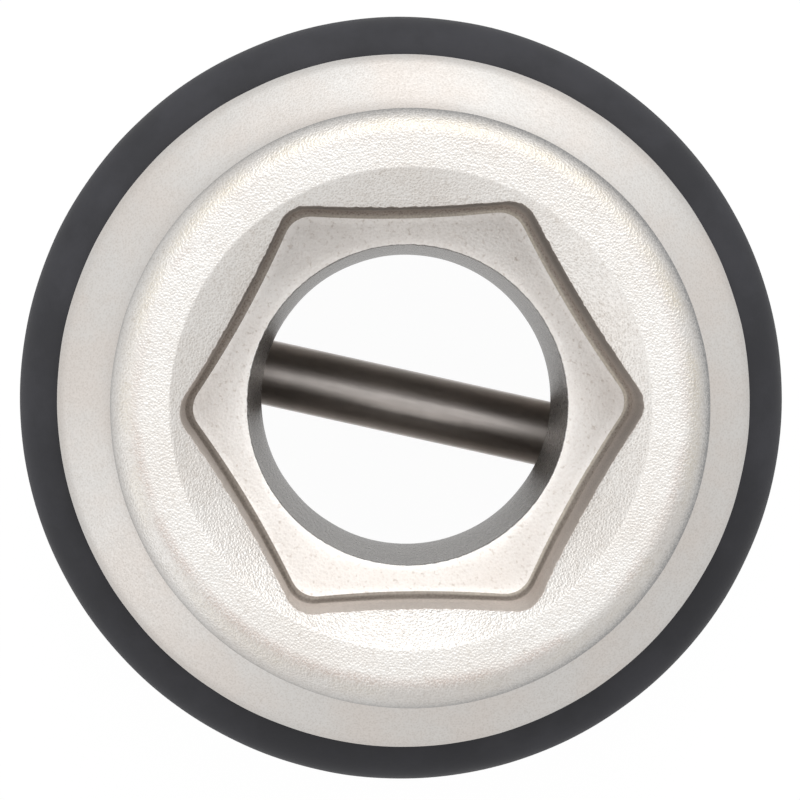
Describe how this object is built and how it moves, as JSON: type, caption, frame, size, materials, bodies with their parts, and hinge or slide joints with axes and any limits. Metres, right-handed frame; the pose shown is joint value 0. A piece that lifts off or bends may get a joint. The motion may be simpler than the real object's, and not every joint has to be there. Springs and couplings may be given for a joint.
{
  "type": "impact socket",
  "caption": "Forged steel impact socket with a hexagon recess in the nose, a female square drive, a loose cross pin and a rubber ring that holds the pin in.",
  "frame": {"origin": "centre of the drive end's face, on which the socket stands", "axes": "+Z along the socket's axis towards the hexagon; X along the cross pin, square to two flats of the drive"},
  "size_m": [0.0468, 0.0468, 0.05],
  "materials": {
    "blasted_steel": "shot-blasted satin nickel",
    "pin_steel": "polished drawn steel",
    "ring_rubber": "matt black moulded rubber"
  },
  "bodies": {
    "socket": {"socket_body": "blasted_steel"},
    "pin": {"retaining_pin": "pin_steel"},
    "ring": {"retaining_ring": "ring_rubber"}
  },
  "joints": [
    {"name": "ring_release", "type": "slide", "parent": "socket", "child": "ring", "axis": [0, 0, 1], "range_m": [0, 0.056], "deforming": ["retaining_ring"]},
    {"name": "pin_slide", "type": "slide", "parent": "socket", "child": "pin", "axis": [1, 0, 0], "range_m": [0, 0.041]}
  ],
  "couplings": [
    {"joint": "pin_slide", "follows": "ring_release", "ratio": 0.732}
  ]
}
